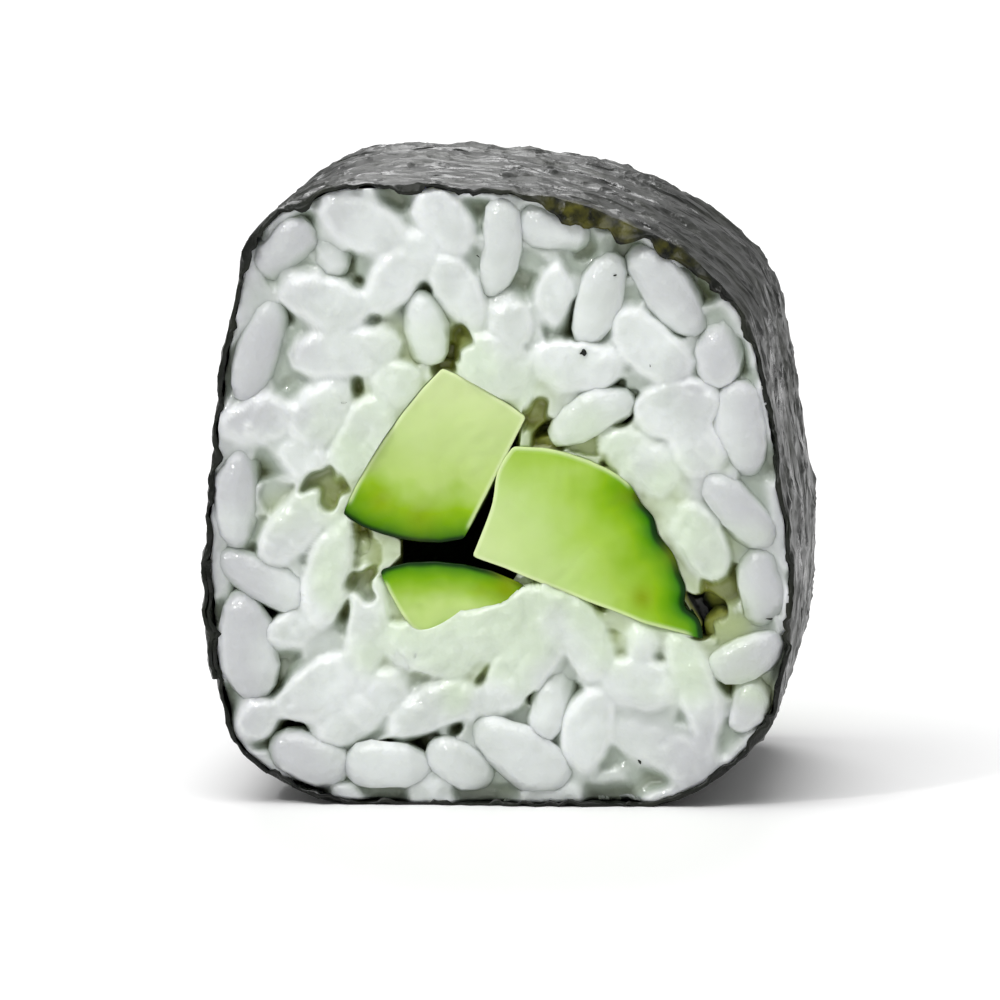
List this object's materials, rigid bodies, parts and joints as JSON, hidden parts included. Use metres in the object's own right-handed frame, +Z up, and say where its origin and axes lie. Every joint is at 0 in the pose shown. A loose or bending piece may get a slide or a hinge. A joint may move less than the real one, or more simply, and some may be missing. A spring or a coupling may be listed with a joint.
{
  "type": "cucumber maki roll piece",
  "caption": "Cut piece of a thin seaweed-wrapped rice roll with cucumber sticks running through it, lying on its side with both cut faces open",
  "frame": {"origin": "centre of the flat base the roll rests on", "axes": "+Z up through the roll's height; Y along the roll's axis, with the front cut face towards -Y; X across the roll"},
  "size_m": [0.0278, 0.026, 0.029],
  "materials": {
    "nori": "dried seaweed sheet, black-green, finely wrinkled, softly glossy",
    "rice": "pressed short-grain sushi rice, cool white, translucent, slightly moist",
    "cucumber": "fresh cut cucumber, pale to bright green flesh with a thin dark green skin, moist"
  },
  "bodies": {
    "root": {"nori": "nori", "rice": "rice", "cucumber_top": "cucumber", "cucumber_right": "cucumber", "cucumber_bottom": "cucumber"}
  },
  "joints": []
}
